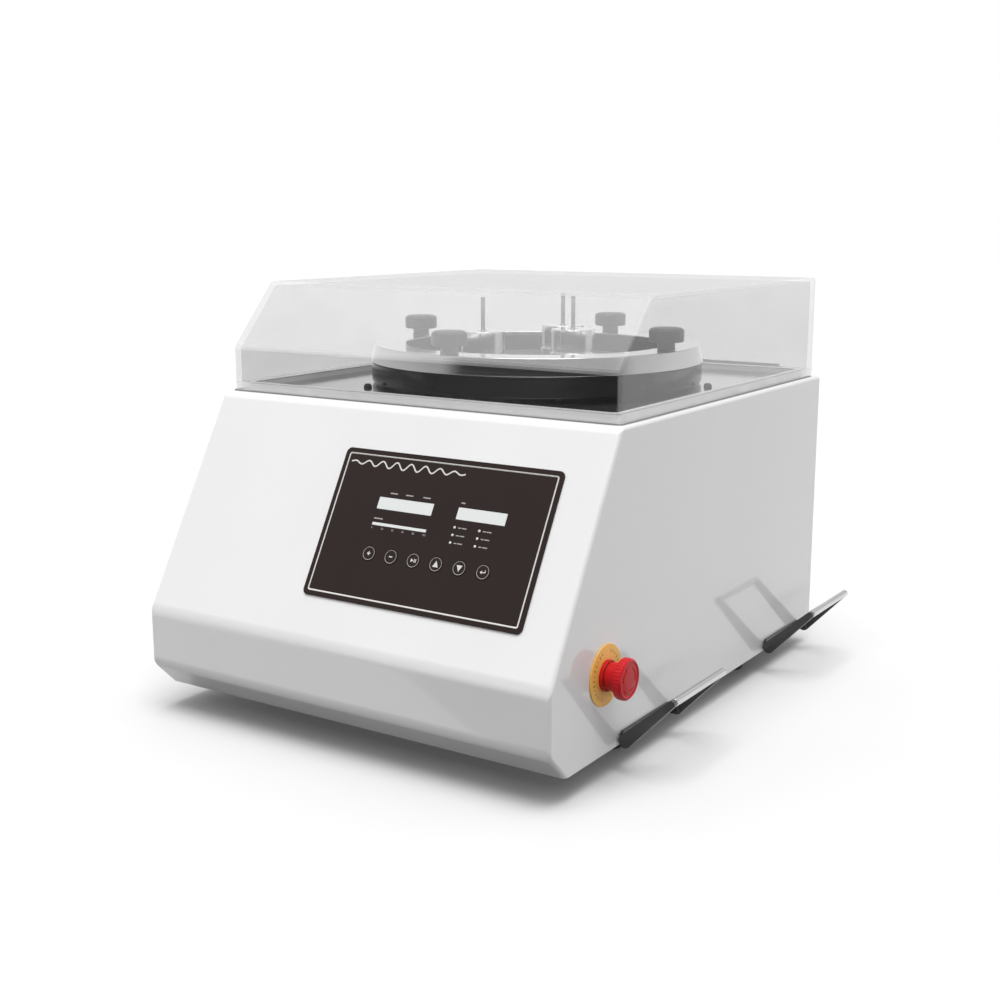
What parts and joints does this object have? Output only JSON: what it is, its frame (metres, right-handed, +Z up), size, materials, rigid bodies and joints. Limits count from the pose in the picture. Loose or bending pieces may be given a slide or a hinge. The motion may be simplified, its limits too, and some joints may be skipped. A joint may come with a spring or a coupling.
{
  "type": "vibratory polishing machine",
  "caption": "Bench polisher: white cabinet with sloped control panel, clear hinged cover over a shaken black bowl with clamp ring, knobs and steel specimen weights.",
  "frame": {"origin": "on the floor under the feet, at the centre of the overall width and depth", "axes": "+Z up, front towards -Y, +X to the right seen from the front"},
  "size_m": [0.6226, 0.6372, 0.452],
  "materials": {
    "white_paint": "satin white powder coat",
    "clear_plastic": "clear, clean",
    "deck_steel": "satin",
    "brushed_steel": "turned and brushed",
    "polished_steel": "polished",
    "bowl_black": "gloss black coat",
    "black_coat": "satin black",
    "black_plastic": "satin",
    "rubber": "matte",
    "cloth": "short nap",
    "panel_film": "fine texture",
    "display": "lit window",
    "stop_red": "semi gloss",
    "stop_yellow": "satin",
    "cast_iron": "machined",
    "spring_steel": "blued",
    "copper": "varnished winding",
    "circuit_board": "solder mask"
  },
  "bodies": {
    "cabinet": {"base_plate": "white_paint", "cabinet_shell": "white_paint", "control_board": "circuit_board", "control_overlay": "panel_film", "counter_base": "cast_iron", "deck_tray": "deck_steel", "drive_controller": "black_plastic", "electromagnet_coil": "copper", "electromagnet_core": "cast_iron", "estop_collar": "stop_red", "estop_contact_block": "black_plastic", "estop_legend": "stop_yellow", "foot_1": "rubber", "foot_2": "rubber", "foot_3": "rubber", "foot_4": "rubber", "handle_bracket_1": "black_coat", "handle_bracket_2": "black_coat", "handle_bracket_3": "black_coat", "handle_bracket_4": "black_coat", "hinge_base": "brushed_steel", "isolator_ring": "rubber", "leaf_spring_1": "spring_steel", "leaf_spring_2": "spring_steel", "leaf_spring_3": "spring_steel", "level_display": "display", "power_inlet": "black_plastic", "rear_panel": "white_paint", "time_display": "display"},
    "cover": {"cover": "clear_plastic", "hinge_leaf": "brushed_steel"},
    "bowl": {"bowl": "bowl_black", "clamp_ring": "brushed_steel", "polishing_cloth": "cloth", "drive_plate": "cast_iron", "armature": "cast_iron"},
    "estop_plunger": {"estop_stem": "brushed_steel"},
    "estop_button": {"estop_head": "stop_red"},
    "power_rocker": {"power_rocker": "black_plastic"},
    "handle_1": {"handle_bail_1": "black_coat", "handle_grip_1": "polished_steel"},
    "clamp_knob_1": {"clamp_knob_1": "black_plastic"},
    "handle_2": {"handle_bail_2": "black_coat", "handle_grip_2": "polished_steel"},
    "clamp_knob_2": {"clamp_knob_2": "black_plastic"},
    "handle_3": {"handle_bail_3": "black_coat", "handle_grip_3": "polished_steel"},
    "clamp_knob_3": {"clamp_knob_3": "black_plastic"},
    "handle_4": {"handle_bail_4": "black_coat", "handle_grip_4": "polished_steel"},
    "clamp_knob_4": {"clamp_knob_4": "black_plastic"},
    "specimen_1": {"specimen_weight_1": "polished_steel"},
    "specimen_2": {"specimen_weight_2": "polished_steel"},
    "specimen_3": {"specimen_weight_3": "polished_steel"},
    "key_plus": {"key_plus": "panel_film"},
    "key_minus": {"key_minus": "panel_film"},
    "key_start": {"key_start": "panel_film"},
    "key_up": {"key_up": "panel_film"},
    "key_down": {"key_down": "panel_film"},
    "key_enter": {"key_enter": "panel_film"}
  },
  "joints": [
    {"name": "cover_hinge", "type": "hinge", "parent": "cabinet", "child": "cover", "pos_m": [0, 0.3141, 0.3374], "axis": [-1, 0, 0], "range_deg": [0, 80]},
    {"name": "handle_fold_1", "type": "hinge", "parent": "cabinet", "child": "handle_1", "pos_m": [0.259, -0.1376, 0.032], "axis": [0, -1, 0], "range_deg": [0, 42]},
    {"name": "handle_fold_2", "type": "hinge", "parent": "cabinet", "child": "handle_2", "pos_m": [0.259, 0.2144, 0.032], "axis": [0, -1, 0], "range_deg": [0, 42]},
    {"name": "handle_fold_3", "type": "hinge", "parent": "cabinet", "child": "handle_3", "pos_m": [-0.259, -0.1376, 0.032], "axis": [0, 1, 0], "range_deg": [0, 42]},
    {"name": "handle_fold_4", "type": "hinge", "parent": "cabinet", "child": "handle_4", "pos_m": [-0.259, 0.2144, 0.032], "axis": [0, 1, 0], "range_deg": [0, 42]},
    {"name": "key_plus_press", "type": "slide", "parent": "cabinet", "child": "key_plus", "axis": [0, 0.8706, -0.492], "range_m": [0, 0.0005], "stiffness_N_per_m": 1500},
    {"name": "key_minus_press", "type": "slide", "parent": "cabinet", "child": "key_minus", "axis": [0, 0.8706, -0.492], "range_m": [0, 0.0005], "stiffness_N_per_m": 1500},
    {"name": "key_start_press", "type": "slide", "parent": "cabinet", "child": "key_start", "axis": [0, 0.8706, -0.492], "range_m": [0, 0.0005], "stiffness_N_per_m": 1500},
    {"name": "key_up_press", "type": "slide", "parent": "cabinet", "child": "key_up", "axis": [0, 0.8706, -0.492], "range_m": [0, 0.0005], "stiffness_N_per_m": 1500},
    {"name": "key_down_press", "type": "slide", "parent": "cabinet", "child": "key_down", "axis": [0, 0.8706, -0.492], "range_m": [0, 0.0005], "stiffness_N_per_m": 1500},
    {"name": "key_enter_press", "type": "slide", "parent": "cabinet", "child": "key_enter", "axis": [0, 0.8706, -0.492], "range_m": [0, 0.0005], "stiffness_N_per_m": 1500},
    {"name": "estop_press", "type": "slide", "parent": "cabinet", "child": "estop_plunger", "axis": [-1, 0, 0], "range_m": [0, 0.004], "stiffness_N_per_m": 2000},
    {"name": "estop_twist", "type": "hinge", "parent": "estop_plunger", "child": "estop_button", "pos_m": [0.25, -0.2199, 0.104], "axis": [-1, 0, 0], "range_deg": [0, 45], "stiffness_Nm_per_rad": 0.2},
    {"name": "power_rocker_tilt", "type": "hinge", "parent": "cabinet", "child": "power_rocker", "pos_m": [-0.15, 0.3087, 0.109], "axis": [1, 0, 0], "range_deg": [0, 20]},
    {"name": "bowl_vibration", "type": "hinge", "parent": "cabinet", "child": "bowl", "pos_m": [0, 0.0594, 0.325], "axis": [0, 0, 1], "range_deg": [-1, 1], "stiffness_Nm_per_rad": 1500},
    {"name": "clamp_knob_1_turn", "type": "hinge", "parent": "bowl", "child": "clamp_knob_1", "pos_m": [-0.00412, -0.10905, 0.3817], "axis": [0, 0, 1], "range_deg": [0, 720]},
    {"name": "clamp_knob_2_turn", "type": "hinge", "parent": "bowl", "child": "clamp_knob_2", "pos_m": [0.16845, 0.05528, 0.3817], "axis": [0, 0, 1], "range_deg": [0, 720]},
    {"name": "clamp_knob_3_turn", "type": "hinge", "parent": "bowl", "child": "clamp_knob_3", "pos_m": [0.00412, 0.22785, 0.3817], "axis": [0, 0, 1], "range_deg": [0, 720]},
    {"name": "clamp_knob_4_turn", "type": "hinge", "parent": "bowl", "child": "clamp_knob_4", "pos_m": [-0.16845, 0.06352, 0.3817], "axis": [0, 0, 1], "range_deg": [0, 720]},
    {"name": "specimen_orbit_1", "type": "hinge", "parent": "bowl", "child": "specimen_1", "pos_m": [0, 0.0594, 0.3593], "axis": [0, 0, 1], "continuous": true},
    {"name": "specimen_orbit_2", "type": "hinge", "parent": "bowl", "child": "specimen_2", "pos_m": [0, 0.0594, 0.3593], "axis": [0, 0, 1], "continuous": true},
    {"name": "specimen_orbit_3", "type": "hinge", "parent": "bowl", "child": "specimen_3", "pos_m": [0, 0.0594, 0.3593], "axis": [0, 0, 1], "continuous": true}
  ],
  "couplings": [
    {"joint": "specimen_orbit_2", "follows": "specimen_orbit_1", "ratio": 1},
    {"joint": "specimen_orbit_3", "follows": "specimen_orbit_1", "ratio": 1}
  ]
}
